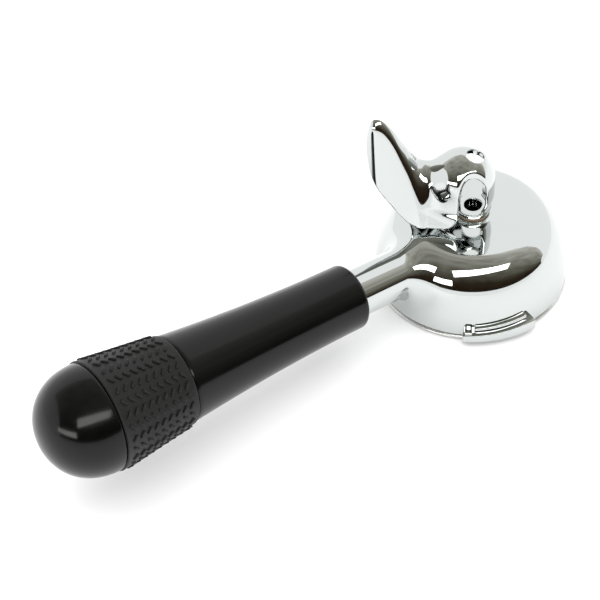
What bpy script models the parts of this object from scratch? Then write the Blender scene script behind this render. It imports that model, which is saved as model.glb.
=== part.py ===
"""Coffee machine portafilter, resting upside down on the flange of its filter basket.

The handle runs along -X. The origin is at the middle of the bounding box, on the surface below.
"""

import math

import bmesh
import bpy
from mathutils import Vector

MM = 0.001

# Fits. Pieces that touch keep a gap, because their meshes may not share a surface.
GAP = 0.3 * MM
SHARP_ANGLE = math.radians(32)

# Filter basket, which sets the size of the head round it.
BASKET_R = 29.3 * MM
BASKET_TAPER = 3.9 * MM
BASKET_STRAIGHT_Z = 8.0 * MM
BASKET_BASE_Z = 22.6 * MM
BASKET_CORNER = 3.0 * MM
BASKET_WALL = 0.8 * MM
FLANGE_T = 1.8 * MM
FLANGE_OVERHANG = 0.2 * MM

# Head casting, measured from the resting surface up its own vertical axis.
BASKET_CLEARANCE = 0.9 * MM
BASKET_HEADROOM = 1.2 * MM
SKIRT_WALL = 4.8 * MM
SKIRT_TOP_Z = 6.4 * MM
SHOULDER_REACH = 13.3 * MM
DOME_WALL = 4.6 * MM
RIM_CHAMFER = 0.8 * MM
BOSS_STEP = 1.6 * MM
BOSS_RISE = 0.3 * MM
INNER_BOSS_STEP = 4.4 * MM
INNER_BOSS_DROP = 1.6 * MM

# The two locking lugs, each a ramped step with a narrower ridge on it and a stop at its low end.
LUG_REACH = 3.2 * MM
LUG_ROOT = 1.5 * MM
LUG_LOW_H = 2.9 * MM
LUG_HIGH_H = 4.7 * MM
LUG_RIDGE_REACH = 1.5 * MM
LUG_RIDGE_RISE = 2.2 * MM
LUG_SPAN = math.radians(41.4)
LUG_MIDDLE = math.radians(-114)
LUG_RIDGE_INSET = math.radians(4.2)
LUG_STOP_SPAN = math.radians(4)
LUG_STOP_RISE = 1.3 * MM

# Spring ring that holds the basket, in a groove in the head.
SPRING_WIRE_R = 0.6 * MM
SPRING_RISE = 2.9 * MM
SPRING_BITE = 0.45 * MM
SPRING_OPENING = math.radians(24)

# Stud that joins neck and handle, and the insert that it screws into.
STUD_R = 5.0 * MM
STUD_IN_NECK = 17.0 * MM
STUD_IN_HANDLE = 20.0 * MM
INSERT_WALL = 2.2 * MM
INSERT_SHOULDER = 1.1 * MM
INSERT_BEYOND_STUD = 4.0 * MM
INSERT_DEPTH = 1.5 * MM

# Neck and handle, measured from the head's axis along the handle's axis.
HANDLE_PITCH = math.radians(6.5)
HANDLE_AXIS_Z = 16.6 * MM
NECK_WALL = 3.4 * MM
NECK_LENGTH = 21.0 * MM
NECK_FLARE = 1.7 * MM
NECK_FLARE_LENGTH = 8.0 * MM
HANDLE_STEP = 3.1 * MM
BARREL_LENGTH = 73.7 * MM
SLEEVE_LENGTH = 30.0 * MM
HANDLE_END_R = 18.9 * MM
HANDLE_SWELL = 1.9
SLEEVE_WALL = 2.0 * MM
SLEEVE_PROUD = 0.4 * MM
CAP_LENGTH = 20.4 * MM
CAP_SPIGOT_R = 9.0 * MM
CAP_SPIGOT_LENGTH = 9.0 * MM
CAP_WALL = 3.2 * MM
EDGE_ROUND = 1.2 * MM

# Spout. Its shell is a bulb over the hub, run into a hood that narrows to a lifted beak.
BEAK_DIRECTION = math.radians(137)
STUB_R = 5.0 * MM
STUB_WALL = 1.9 * MM
STUB_RECESS = 0.2 * MM
WASHER_T = 0.6 * MM
WASHER_STEP = 0.9 * MM
HUB_STEP = 1.2 * MM
HUB_H = 1.8 * MM
SPOUT_WALL = 2.0 * MM
BULB_R = 11.4 * MM
BULB_BACK = 7.4 * MM
BULB_FLOOR_RISE = 1.0 * MM
BULB_WAIST_RISE = 8.8 * MM
BULB_MIDDLE_RISE = 14.7 * MM
WINDOW_TURN = math.radians(113)
WINDOW_DEPTH = 3.6 * MM
WINDOW_R = 7.4 * MM
HOOD_WIDTH = 15.0 * MM
HOOD_RISE = 18.4 * MM
HOOD_PINCH = 1.4
HOOD_EDGE_RISE = 1.3 * MM
BEAK_REACH = 38.0 * MM
BEAK_TOP_RISE = 39.8 * MM

COLOURS = {
    "chrome": ((0.80, 0.81, 0.82), 0.06, 1.0),
    "basket_steel": ((0.62, 0.62, 0.61), 0.22, 1.0),
    "spring_steel": ((0.42, 0.42, 0.43), 0.30, 1.0),
    "brass": ((0.72, 0.52, 0.22), 0.30, 1.0),
    "stud_steel": ((0.45, 0.45, 0.46), 0.35, 1.0),
    "handle_black": ((0.010, 0.010, 0.011), 0.16, 0.0),
    "grip_rubber": ((0.016, 0.016, 0.017), 0.62, 0.0),
    "washer_fibre": ((0.60, 0.12, 0.07), 0.60, 0.0),
}


# Sizes that follow from those above, from the basket outwards.
BASKET_BASE_R = BASKET_R - BASKET_TAPER
CAVITY_R = BASKET_R + BASKET_CLEARANCE
HEAD_R = CAVITY_R + SKIRT_WALL
FLANGE_R = HEAD_R + FLANGE_OVERHANG
DOME_FLAT_R = HEAD_R - SHOULDER_REACH
LUG_R = HEAD_R + LUG_REACH
LUG_RIDGE_R = HEAD_R + LUG_RIDGE_REACH
SPRING_R = BASKET_R + SPRING_BITE + SPRING_WIRE_R
STUB_BORE_R = STUB_R + GAP
FLOW_R = STUB_R - STUB_WALL
HUB_R = STUB_R + HUB_STEP
WASHER_R = STUB_R + WASHER_STEP
BOSS_R = STUB_R + BOSS_STEP
INNER_BOSS_R = STUB_R + INNER_BOSS_STEP
STUD_HOLE_R = STUD_R + GAP
NECK_R = STUD_HOLE_R + NECK_WALL
NECK_FLARE_R = NECK_R + NECK_FLARE
INSERT_R = STUD_HOLE_R + INSERT_WALL
INSERT_LENGTH = STUD_IN_HANDLE + INSERT_BEYOND_STUD
HANDLE_CORE_R = INSERT_R - INSERT_SHOULDER
HANDLE_START_R = NECK_R + HANDLE_STEP

# Heights, and places along the handle's axis.
RIM_Z = FLANGE_T + GAP
SPRING_Z = RIM_Z + SPRING_RISE
INNER_BOSS_Z = BASKET_BASE_Z + BASKET_HEADROOM
CEILING_Z = INNER_BOSS_Z + INNER_BOSS_DROP
DOME_TOP_Z = CEILING_Z + DOME_WALL
BOSS_Z = DOME_TOP_Z + BOSS_RISE
WASHER_Z = BOSS_Z + GAP
HUB_Z = WASHER_Z + WASHER_T + GAP
STUB_END_Z = INNER_BOSS_Z + STUB_RECESS
BULB_Z = HUB_Z + BULB_MIDDLE_RISE
NECK_END = HEAD_R + NECK_LENGTH
HANDLE_START = NECK_END + GAP
SLEEVE_START = HANDLE_START + BARREL_LENGTH
SLEEVE_END = SLEEVE_START + SLEEVE_LENGTH

# The head's axis in X, which puts the origin midway between the head and the handle's end.
HEAD_X = ((SLEEVE_END + CAP_LENGTH) * math.cos(HANDLE_PITCH) - FLANGE_R) / 2


def material(name):
    found = bpy.data.materials.get(name)
    if found:
        return found
    colour, roughness, metallic = COLOURS[name]
    made = bpy.data.materials.new(name)
    made.use_nodes = True
    shader = made.node_tree.nodes["Principled BSDF"]
    shader.inputs["Base Color"].default_value = (*colour, 1)
    shader.inputs["Roughness"].default_value = roughness
    shader.inputs["Metallic"].default_value = metallic
    return made


def add_object(name, bm, parent, finish=None):
    """Turns a bmesh into an object under a frame. With no finish it is a helper, which isn't rendered."""
    bmesh.ops.recalc_face_normals(bm, faces=bm.faces)
    mesh = bpy.data.meshes.new(name)
    bm.to_mesh(mesh)
    bm.free()
    mesh.shade_smooth()
    mesh.set_sharp_from_angle(angle=SHARP_ANGLE)
    obj = bpy.data.objects.new(name, mesh)
    bpy.context.scene.collection.objects.link(obj)
    obj.parent = parent
    if finish:
        mesh.materials.append(material(finish))
    else:
        obj.hide_render = True
        obj.display_type = "WIRE"
    return obj


def frame(name, location, rotation=(0, 0, 0)):
    """An empty that places the pieces under it."""
    empty = bpy.data.objects.new(name, None)
    empty.location = location
    empty.rotation_euler = rotation
    bpy.context.scene.collection.objects.link(empty)
    return empty


def boolean(obj, other, operation):
    modifier = obj.modifiers.new(f"{operation.lower()}_{other.name}", "BOOLEAN")
    modifier.operation = operation
    modifier.solver = "EXACT"
    modifier.object = other


def turned(profile, segments, axis="Z"):
    """A solid turned about an axis from (radius, height) points, closed on itself or ended on the axis."""
    bm = bmesh.new()
    along_x = axis == "X"
    verts = [bm.verts.new((z, r, 0) if along_x else (r, 0, z)) for r, z in profile]
    ends_on_axis = profile[0][0] == 0 and profile[-1][0] == 0
    pairs = list(zip(verts, verts[1:]))
    if not ends_on_axis:
        pairs.append((verts[-1], verts[0]))
    edges = [bm.edges.new(pair) for pair in pairs]
    spin_axis = (1, 0, 0) if along_x else (0, 0, 1)
    bmesh.ops.spin(
        bm, geom=verts + edges, cent=(0, 0, 0), axis=spin_axis,
        angle=math.tau, steps=segments, use_merge=True,
    )
    bmesh.ops.remove_doubles(bm, verts=bm.verts, dist=1e-6)
    bmesh.ops.dissolve_degenerate(bm, edges=bm.edges, dist=1e-6)
    return bm


def lofted(rings):
    """A closed solid through rings that have the same number of points."""
    bm = bmesh.new()
    loops = [[bm.verts.new(point) for point in ring] for ring in rings]
    count = len(rings[0])
    for low, high in zip(loops, loops[1:]):
        for i in range(count):
            j = (i + 1) % count
            bm.faces.new((low[i], low[j], high[j], high[i]))
    bm.faces.new(loops[0])
    bm.faces.new(loops[-1])
    bmesh.ops.triangulate(bm, faces=[f for f in bm.faces if len(f.verts) > 4])
    return bm


def arc(centre_r, centre_z, radius_r, radius_z, start, end, steps):
    """Points on an elliptic arc, from one angle to another."""
    points = []
    for i in range(steps + 1):
        angle = start + (end - start) * i / steps
        points.append((centre_r + radius_r * math.cos(angle), centre_z + radius_z * math.sin(angle)))
    return points


def smooth_path(keys, at):
    """Reads a smooth curve through (position, value) keys."""
    if at <= keys[0][0]:
        return keys[0][1]
    for i in range(len(keys) - 1):
        x0, y0 = keys[i]
        x1, y1 = keys[i + 1]
        if at > x1:
            continue
        before = keys[max(i - 1, 0)]
        after = keys[min(i + 2, len(keys) - 1)]
        slope0 = (y1 - before[1]) / (x1 - before[0])
        slope1 = (after[1] - y0) / (after[0] - x0)
        t = (at - x0) / (x1 - x0)
        h = x1 - x0
        return (
            (2 * t**3 - 3 * t**2 + 1) * y0
            + (t**3 - 2 * t**2 + t) * h * slope0
            + (3 * t**2 - 2 * t**3) * y1
            + (t**3 - t**2) * h * slope1
        )
    return keys[-1][1]


def sector(inner, outer, low, high_start, high_end, start, end, steps=9):
    """A block bent round the vertical axis, whose top may climb from its start to its end."""
    rings = []
    for i in range(steps + 1):
        share = i / steps
        angle = start + (end - start) * share
        high = high_start + (high_end - high_start) * share
        direction = Vector((math.cos(angle), math.sin(angle), 0))
        corners = ((inner, low), (outer, low), (outer, high), (inner, high))
        rings.append([direction * r + Vector((0, 0, z)) for r, z in corners])
    return lofted(rings)


def add_sector(name, parent, *sizes):
    return add_object(name, sector(*sizes), parent)


def head_outline():
    """The dome's outer profile, from the top of its axis to the rim."""
    shoulder = arc(
        DOME_FLAT_R, SKIRT_TOP_Z, HEAD_R - DOME_FLAT_R, DOME_TOP_Z - SKIRT_TOP_Z, math.pi / 2, 0, 12
    )
    rim = [(HEAD_R, RIM_Z + RIM_CHAMFER), (HEAD_R - RIM_CHAMFER, RIM_Z)]
    return [(0, DOME_TOP_Z), *shoulder, *rim, (0, RIM_Z)]


def cavity_outline():
    """The hollow under the dome, with the pad round the spout's bore and the spring's groove."""
    below = RIM_Z - 5 * MM
    ceiling = arc(
        DOME_FLAT_R, SKIRT_TOP_Z, CAVITY_R - DOME_FLAT_R, CEILING_Z - SKIRT_TOP_Z, math.pi / 2, 0, 8
    )
    boss = [(0, INNER_BOSS_Z), (INNER_BOSS_R, INNER_BOSS_Z), (INNER_BOSS_R + MM, CEILING_Z)]
    groove_r = SPRING_R + SPRING_WIRE_R + GAP
    groove_h = SPRING_WIRE_R + GAP
    groove = [
        (CAVITY_R, SPRING_Z + groove_h), (groove_r, SPRING_Z + groove_h),
        (groove_r, SPRING_Z - groove_h), (CAVITY_R, SPRING_Z - groove_h),
    ]
    return [*boss, *ceiling, *groove, (CAVITY_R, below), (0, below)]


def neck_outline():
    """A round neck whose root swells in a smooth fillet into the dome."""
    flare_start = HEAD_R - 3 * MM
    points = [(0, DOME_FLAT_R), (NECK_FLARE_R, DOME_FLAT_R), (NECK_FLARE_R, flare_start)]
    steps = 6
    for i in range(1, steps + 1):
        share = i / steps
        radius = NECK_R + (NECK_FLARE_R - NECK_R) * (1 - share) ** 2.4
        points.append((radius, flare_start + NECK_FLARE_LENGTH * share))
    return [*points, (NECK_R, NECK_END - 0.6 * MM), (NECK_R - 0.6 * MM, NECK_END), (0, NECK_END)]


def add_head(head_frame, handle_frame):
    head = add_object("head_body", turned(head_outline(), 60), head_frame, "chrome")
    neck = add_object("neck_form", turned(neck_outline(), 28, "X"), handle_frame)
    boolean(head, neck, "UNION")
    below_top = DOME_TOP_Z - 1.5 * MM
    boss_profile = [(0, BOSS_Z), (BOSS_R, BOSS_Z), (BOSS_R + 0.5 * MM, below_top), (0, below_top)]
    boolean(head, add_object("boss_form", turned(boss_profile, 28), head_frame), "UNION")
    for side, middle in (("near", LUG_MIDDLE), ("far", LUG_MIDDLE + math.pi)):
        start = middle - LUG_SPAN / 2
        end = middle + LUG_SPAN / 2
        inner = HEAD_R - LUG_ROOT
        low_top = RIM_Z + LUG_LOW_H
        high_top = RIM_Z + LUG_HIGH_H
        rise = LUG_RIDGE_RISE
        inset = LUG_RIDGE_INSET
        stop_top = low_top + LUG_STOP_RISE
        stop_start = start + inset / 4
        step = (inner, LUG_R, RIM_Z, low_top, high_top, start, end)
        ridge = (
            inner, LUG_RIDGE_R, RIM_Z + 0.5 * MM, low_top + rise, high_top + rise,
            start + inset * 1.5, end - inset,
        )
        stop = (
            inner, LUG_R - 0.5 * MM, RIM_Z + 0.7 * MM, stop_top, stop_top, stop_start,
            stop_start + LUG_STOP_SPAN, 3,
        )
        for part, sizes in (("step", step), ("ridge", ridge), ("stop", stop)):
            boolean(head, add_sector(f"lug_{part}_{side}", head_frame, *sizes), "UNION")
    boolean(head, add_object("cavity_cutter", turned(cavity_outline(), 60), head_frame), "DIFFERENCE")
    bore_low = INNER_BOSS_Z - 5 * MM
    bore_high = BOSS_Z + MM
    bore = [(0, bore_low), (STUB_BORE_R, bore_low), (STUB_BORE_R, bore_high), (0, bore_high)]
    boolean(head, add_object("spout_bore_cutter", turned(bore, 28), head_frame), "DIFFERENCE")
    hole_start = NECK_END - STUD_IN_NECK - GAP
    hole_end = NECK_END + 5 * MM
    hole = [(0, hole_start), (STUD_HOLE_R, hole_start), (STUD_HOLE_R, hole_end), (0, hole_end)]
    boolean(head, add_object("stud_hole_cutter", turned(hole, 20, "X"), handle_frame), "DIFFERENCE")


def add_basket(head_frame):
    inner_base_z = BASKET_BASE_Z - BASKET_WALL
    corner_z = BASKET_BASE_Z - BASKET_CORNER
    outer = [
        (BASKET_R, FLANGE_T), (BASKET_R, BASKET_STRAIGHT_Z),
        *arc(BASKET_BASE_R - BASKET_CORNER, corner_z, BASKET_CORNER, BASKET_CORNER, 0, math.pi / 2, 4),
        (0, BASKET_BASE_Z),
    ]
    inner_corner = BASKET_CORNER - BASKET_WALL
    inner = [
        (0, inner_base_z),
        *arc(BASKET_BASE_R - BASKET_CORNER, corner_z, inner_corner, inner_corner, math.pi / 2, 0, 4),
        (BASKET_R - BASKET_WALL, BASKET_STRAIGHT_Z), (BASKET_R - BASKET_WALL, 0),
    ]
    half = FLANGE_T / 2
    lip = arc(FLANGE_R - half, half, half, half, -math.pi / 2, math.pi / 2, 6)
    add_object("filter_basket", turned([*inner, *lip, *outer], 56), head_frame, "basket_steel")


def add_spring(head_frame):
    """A wire ring, open at one side, so that it can be squeezed into its groove."""
    start = SPRING_OPENING / 2
    sweep = math.tau - SPRING_OPENING
    steps = 44
    rings = []
    for i in range(steps + 1):
        angle = start + sweep * i / steps
        direction = Vector((math.cos(angle), math.sin(angle), 0))
        ring = []
        for j in range(6):
            turn = math.tau * j / 6
            radius = SPRING_R + SPRING_WIRE_R * math.cos(turn)
            ring.append(direction * radius + Vector((0, 0, SPRING_Z + SPRING_WIRE_R * math.sin(turn))))
        rings.append(ring)
    add_object("basket_spring", lofted(rings), head_frame, "spring_steel")


def handle_radius(at):
    """The handle's outer radius, which swells towards its end."""
    share = (at - HANDLE_START) / (SLEEVE_END - HANDLE_START)
    return HANDLE_START_R + (HANDLE_END_R - HANDLE_START_R) * share**HANDLE_SWELL


def handle_side(start, end, steps, offset=0.0):
    points = []
    for i in range(steps + 1):
        at = start + (end - start) * i / steps
        points.append((handle_radius(at) + offset, at))
    return points


def add_handle(handle_frame):
    sleeve_seat = -SLEEVE_WALL - GAP
    insert_seat_r = INSERT_R + GAP
    insert_end = HANDLE_START + INSERT_DEPTH + INSERT_LENGTH + GAP
    socket_r = CAP_SPIGOT_R + GAP
    socket_start = SLEEVE_END - CAP_SPIGOT_LENGTH - GAP
    outline = [
        (HANDLE_CORE_R, insert_end), (insert_seat_r, insert_end),
        (insert_seat_r, HANDLE_START),
        (HANDLE_START_R - EDGE_ROUND, HANDLE_START),
        (HANDLE_START_R - EDGE_ROUND * 0.3, HANDLE_START + EDGE_ROUND * 0.3),
        *handle_side(HANDLE_START + EDGE_ROUND, SLEEVE_START, 9),
        *handle_side(SLEEVE_START + 0.1 * MM, SLEEVE_END, 4, sleeve_seat),
        (socket_r, SLEEVE_END), (socket_r, socket_start), (HANDLE_CORE_R, socket_start),
    ]
    add_object("handle_body", turned(outline, 32, "X"), handle_frame, "handle_black")

    sleeve_start = SLEEVE_START + GAP + 0.1 * MM
    sleeve_end = SLEEVE_END
    outside = handle_side(sleeve_start, sleeve_end, 6, SLEEVE_PROUD)
    inside = handle_side(sleeve_end, sleeve_start, 4, -SLEEVE_WALL)
    add_object("grip_sleeve", turned([*outside, *inside], 36, "X"), handle_frame, "grip_rubber")

    cap_start = SLEEVE_END + GAP
    cap_length = CAP_LENGTH - GAP
    dome = arc(0, cap_start, HANDLE_END_R, cap_length, 0, math.pi / 2, 9)[:-1]
    hollow_r = HANDLE_END_R - CAP_WALL
    hollow_start = cap_start + CAP_WALL
    hollow_length = cap_length - 2 * CAP_WALL
    hollow = arc(0, hollow_start, hollow_r, hollow_length, math.pi / 2, 0, 6)[1:]
    spigot_end = SLEEVE_END - CAP_SPIGOT_LENGTH
    spigot_bore_r = CAP_SPIGOT_R - CAP_WALL
    cap = [
        (0, hollow_start + hollow_length), *hollow,
        (spigot_bore_r, hollow_start), (spigot_bore_r, spigot_end),
        (CAP_SPIGOT_R, spigot_end), (CAP_SPIGOT_R, cap_start),
        *dome, (0, cap_start + cap_length),
    ]
    add_object("end_cap", turned(cap, 32, "X"), handle_frame, "handle_black")

    insert_start = HANDLE_START + INSERT_DEPTH
    insert = [
        (STUD_HOLE_R, insert_start), (INSERT_R, insert_start),
        (INSERT_R, insert_start + INSERT_LENGTH), (STUD_HOLE_R, insert_start + INSERT_LENGTH),
    ]
    add_object("threaded_insert", turned(insert, 20, "X"), handle_frame, "brass")

    stud_start = NECK_END - STUD_IN_NECK
    stud_end = HANDLE_START + INSERT_DEPTH + STUD_IN_HANDLE
    bevel = 0.8 * MM
    stud = [
        (0, stud_start), (STUD_R - bevel, stud_start), (STUD_R, stud_start + bevel),
        (STUD_R, stud_end - bevel), (STUD_R - bevel, stud_end), (0, stud_end),
    ]
    add_object("handle_stud", turned(stud, 20, "X"), handle_frame, "stud_steel")


def add_washer(head_frame):
    profile = [
        (STUB_BORE_R, WASHER_Z), (WASHER_R, WASHER_Z),
        (WASHER_R, WASHER_Z + WASHER_T), (STUB_BORE_R, WASHER_Z + WASHER_T),
    ]
    add_object("spout_washer", turned(profile, 28), head_frame, "washer_fibre")


def bulb_rings(inset, segments):
    """Circles from the hub up to a round crown, whose middles lean towards the beak as they widen."""
    floor_z = HUB_Z + BULB_FLOOR_RISE + inset
    waist_z = HUB_Z + BULB_WAIST_RISE
    lean = BULB_R - BULB_BACK
    sizes = []
    for i in range(6):
        share = i / 5
        swell = share * share * (3 - 2 * share)
        radius = HUB_R + (BULB_R - HUB_R) * swell
        sizes.append((radius - inset, lean * swell, floor_z + (waist_z - floor_z) * share))
    sizes.append((BULB_R - inset, lean, BULB_Z))
    for i in range(1, 7):
        turn = math.pi / 2 * i / 6.4
        crown = BULB_R - inset
        sizes.append((crown * math.cos(turn), lean, BULB_Z + crown * math.sin(turn)))
    rings = []
    for radius, centre, z in sizes:
        ring = []
        for j in range(segments):
            turn = math.tau * (j + 0.5) / segments
            ring.append(Vector((centre + radius * math.cos(turn), radius * math.sin(turn), z)))
        rings.append(ring)
    return rings


def hood_rings(inset, start, steps, half_points):
    """Upright arches across the beak, high and narrow at its tip, low and wide over the hub."""
    valley = HUB_Z + HOOD_RISE
    tip_z = HUB_Z + BEAK_TOP_RISE
    end = BEAK_REACH - inset
    crest_keys = [
        (0, valley + 2 * MM), (BEAK_REACH * 0.21, valley), (BEAK_REACH * 0.47, valley + MM),
        (BEAK_REACH * 0.64, valley + (tip_z - valley) * 0.36),
        (BEAK_REACH * 0.78, valley + (tip_z - valley) * 0.80),
        (BEAK_REACH * 0.86, tip_z - 0.5 * MM), (BEAK_REACH * 0.91, tip_z),
        (BEAK_REACH * 0.96, tip_z - 1.2 * MM), (BEAK_REACH, tip_z - 5 * MM),
    ]
    brim = HUB_Z + HOOD_EDGE_RISE
    edge_keys = [
        (0, brim), (BEAK_REACH * 0.42, brim + 0.4 * MM), (BEAK_REACH * 0.58, brim + 2.2 * MM),
        (BEAK_REACH * 0.75, brim + 7.0 * MM), (BEAK_REACH * 0.9, brim + 14.2 * MM),
        (BEAK_REACH * 0.97, brim + 21 * MM), (BEAK_REACH, tip_z - 10 * MM),
    ]
    width_keys = [
        (0, HOOD_WIDTH), (BEAK_REACH * 0.2, HOOD_WIDTH), (BEAK_REACH * 0.45, HOOD_WIDTH * 0.9),
        (BEAK_REACH * 0.6, HOOD_WIDTH * 0.8), (BEAK_REACH * 0.75, HOOD_WIDTH * 0.66),
        (BEAK_REACH * 0.9, HOOD_WIDTH * 0.46), (BEAK_REACH * 0.97, HOOD_WIDTH * 0.30),
        (BEAK_REACH, HOOD_WIDTH * 0.14),
    ]
    rings = []
    for i in range(steps + 1):
        share = i / steps
        reach = start + (end - start) * (1 - (1 - share) ** 1.6)
        source = min(reach + inset * 0.6, BEAK_REACH) if inset else reach
        crest = smooth_path(crest_keys, source) - inset
        edge = smooth_path(edge_keys, source)
        width = max(smooth_path(width_keys, source) - inset, 0.5 * MM)
        bottom = edge - (4 * MM if inset else 0)
        ring = []
        for j in range(2 * half_points + 1):
            turn = math.pi * j / (2 * half_points)
            side = math.copysign(abs(math.cos(turn)) ** HOOD_PINCH, math.cos(turn))
            ring.append(Vector((reach, width * side, edge + (crest - edge) * math.sin(turn))))
        if inset:
            ring.append(Vector((reach, -width, bottom)))
            ring.append(Vector((reach, width, bottom)))
        rings.append(ring)
    return rings


def add_window_cutters(spout_frame):
    """Two upright cylinders that scoop the bulb's sides away and open its inside."""
    low = HUB_Z - 5 * MM
    high = BULB_Z + BULB_R + 5 * MM
    reach = BULB_R - WINDOW_DEPTH + WINDOW_R
    profile = [(0, low), (WINDOW_R, low), (WINDOW_R, high), (0, high)]
    cutters = []
    for side, turn in (("left", WINDOW_TURN), ("right", -WINDOW_TURN)):
        cutter = add_object(f"window_cutter_{side}", turned(profile, 44), spout_frame)
        middle = BULB_R - BULB_BACK + reach * math.cos(turn)
        cutter.location = (middle, reach * math.sin(turn), 0)
        cutters.append(cutter)
    return cutters


def add_spout(spout_frame):
    spout = add_object("spout", lofted(bulb_rings(0, 36)), spout_frame, "chrome")
    hood = add_object("hood_form", lofted(hood_rings(0, 2 * MM, 14, 7)), spout_frame)
    boolean(spout, hood, "UNION")
    for name, rings in (
        ("bulb_hollow", bulb_rings(SPOUT_WALL, 32)),
        ("hood_hollow", hood_rings(SPOUT_WALL, 0, 12, 6)),
    ):
        boolean(spout, add_object(name, lofted(rings), spout_frame), "DIFFERENCE")
    for cutter in add_window_cutters(spout_frame):
        boolean(spout, cutter, "DIFFERENCE")
    bevel = 0.7 * MM
    hub = [
        (0, STUB_END_Z), (STUB_R - bevel, STUB_END_Z), (STUB_R, STUB_END_Z + bevel), (STUB_R, HUB_Z),
        (HUB_R, HUB_Z), (HUB_R, HUB_Z + HUB_H), (0, HUB_Z + HUB_H),
    ]
    boolean(spout, add_object("hub_form", turned(hub, 28), spout_frame), "UNION")
    flow_start = STUB_END_Z - MM
    flow_end = HUB_Z + HUB_H + SPOUT_WALL + MM
    flow = [(0, flow_start), (FLOW_R, flow_start), (FLOW_R, flow_end), (0, flow_end)]
    boolean(spout, add_object("flow_cutter", turned(flow, 24), spout_frame), "DIFFERENCE")


def main():
    for obj in list(bpy.data.objects):
        bpy.data.objects.remove(obj)
    head_frame = frame("head_axis", (HEAD_X, 0, 0))
    handle_frame = frame(
        "handle_axis", (HEAD_X, 0, HANDLE_AXIS_Z), (0, -HANDLE_PITCH, math.pi)
    )
    spout_frame = frame("spout_axis", (HEAD_X, 0, 0), (0, 0, BEAK_DIRECTION))
    add_head(head_frame, handle_frame)
    add_basket(head_frame)
    add_spring(head_frame)
    add_washer(head_frame)
    add_spout(spout_frame)
    add_handle(handle_frame)


main()
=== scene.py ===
"""Looks of the portafilter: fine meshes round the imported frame, materials, studio and camera."""
import math

import bmesh
import bpy
import numpy as np
from mathutils import Matrix, Vector


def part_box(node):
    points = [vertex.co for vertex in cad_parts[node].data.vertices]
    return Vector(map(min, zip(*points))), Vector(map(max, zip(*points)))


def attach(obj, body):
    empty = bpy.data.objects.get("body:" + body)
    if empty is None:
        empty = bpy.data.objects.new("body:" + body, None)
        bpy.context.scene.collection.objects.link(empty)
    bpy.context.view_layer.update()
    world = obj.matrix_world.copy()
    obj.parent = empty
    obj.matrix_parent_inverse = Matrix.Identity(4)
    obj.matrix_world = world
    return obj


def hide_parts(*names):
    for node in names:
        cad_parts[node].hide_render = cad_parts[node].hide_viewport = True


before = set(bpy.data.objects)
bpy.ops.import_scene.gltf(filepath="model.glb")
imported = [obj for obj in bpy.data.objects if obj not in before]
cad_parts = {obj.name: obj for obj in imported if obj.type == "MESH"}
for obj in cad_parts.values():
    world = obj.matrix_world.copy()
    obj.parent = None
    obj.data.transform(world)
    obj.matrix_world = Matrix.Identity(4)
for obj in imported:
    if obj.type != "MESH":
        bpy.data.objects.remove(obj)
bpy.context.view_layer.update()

MM = 0.001

# ---- sizes: places come from the frame's boxes, most others repeat the part's own values ----

RIM_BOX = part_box("filter_basket")
HEAD_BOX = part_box("head_body")
SPOUT_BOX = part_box("spout")
AXIS_X = (RIM_BOX[0].x + RIM_BOX[1].x) / 2
FLANGE_R = (RIM_BOX[1].x - RIM_BOX[0].x) / 2
FLANGE_T = 1.8 * MM
GAP = 0.3 * MM
RIM_Z = HEAD_BOX[0].z

HEAD_R = 35.0 * MM
DOME_FLAT_R = 21.7 * MM
SKIRT_TOP_Z = 6.4 * MM
BOSS_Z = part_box("spout_washer")[0].z - GAP
DOME_TOP_Z = 30.2 * MM
DOME_CROWN = 0.5 * MM
HEAD_EDGE = 0.5 * MM
NECK_BLEND = 6.5 * MM
BOSS_BLEND = 1.2 * MM
RIM_ROUND = 0.9 * MM
HEAD_NET_STEP = 0.5 * MM
CEILING_Z = 25.4 * MM
CAVITY_R = 30.2 * MM
BOSS_R = 6.6 * MM
INNER_BOSS_R = 9.4 * MM
INNER_BOSS_DROP = 1.6 * MM
STUB_R = 5.0 * MM
SPRING_Z = 5.0 * MM
SPRING_R = 30.35 * MM
SPRING_WIRE_R = 0.6 * MM

LUG_R = 38.2 * MM
LUG_ROOT = 1.5 * MM
LUG_LOW_H = 2.9 * MM
LUG_HIGH_H = 4.7 * MM
LUG_RIDGE_R = 36.5 * MM
LUG_RIDGE_RISE = 2.2 * MM
LUG_SPAN = math.radians(41.4)
LUG_MIDDLE = math.radians(-114)
LUG_RIDGE_INSETS = (math.radians(6.3), math.radians(4.2))
LUG_STOP_PLACE = (math.radians(1), math.radians(5))
LUG_STOP_RISE = 1.3 * MM
LUG_STOP_INSET = 0.5 * MM

HANDLE_PITCH = math.radians(6.5)
HANDLE_AXIS_Z = 16.6 * MM
NECK_R = 8.7 * MM
NECK_END = 56.0 * MM
STUD_IN_NECK = 17.3 * MM
STUD_HOLE_R = 5.3 * MM
HANDLE_START = 56.3 * MM
HANDLE_START_R = 11.8 * MM
HANDLE_END_R = 18.9 * MM
HANDLE_SWELL = 1.9
HANDLE_EDGE = 1.4 * MM
HANDLE_CORE_R = 6.4 * MM
INSERT_BED = 26.0 * MM
SLEEVE_BED = 1.6 * MM
SLEEVE_START = 130.4 * MM
SLEEVE_END = 160.0 * MM
SLEEVE_PROUD = 0.4 * MM
SLEEVE_DEPTH = 1.5 * MM
SLEEVE_LIP = 0.35 * MM
RIB_ROWS = 28
RIB_PITCH = 2.9 * MM
RIB_LENGTH = 2.9 * MM
RIB_WIDTH = 1.2 * MM
RIB_HEIGHT = 0.6 * MM
RIB_SLANT = math.radians(38)
CAP_GAP = 0.25 * MM
CAP_LENGTH = 20.4 * MM
CAP_WALL = 3.0 * MM
CAP_LIP = 0.5 * MM
CAP_FULLNESS = 0.93

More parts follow.
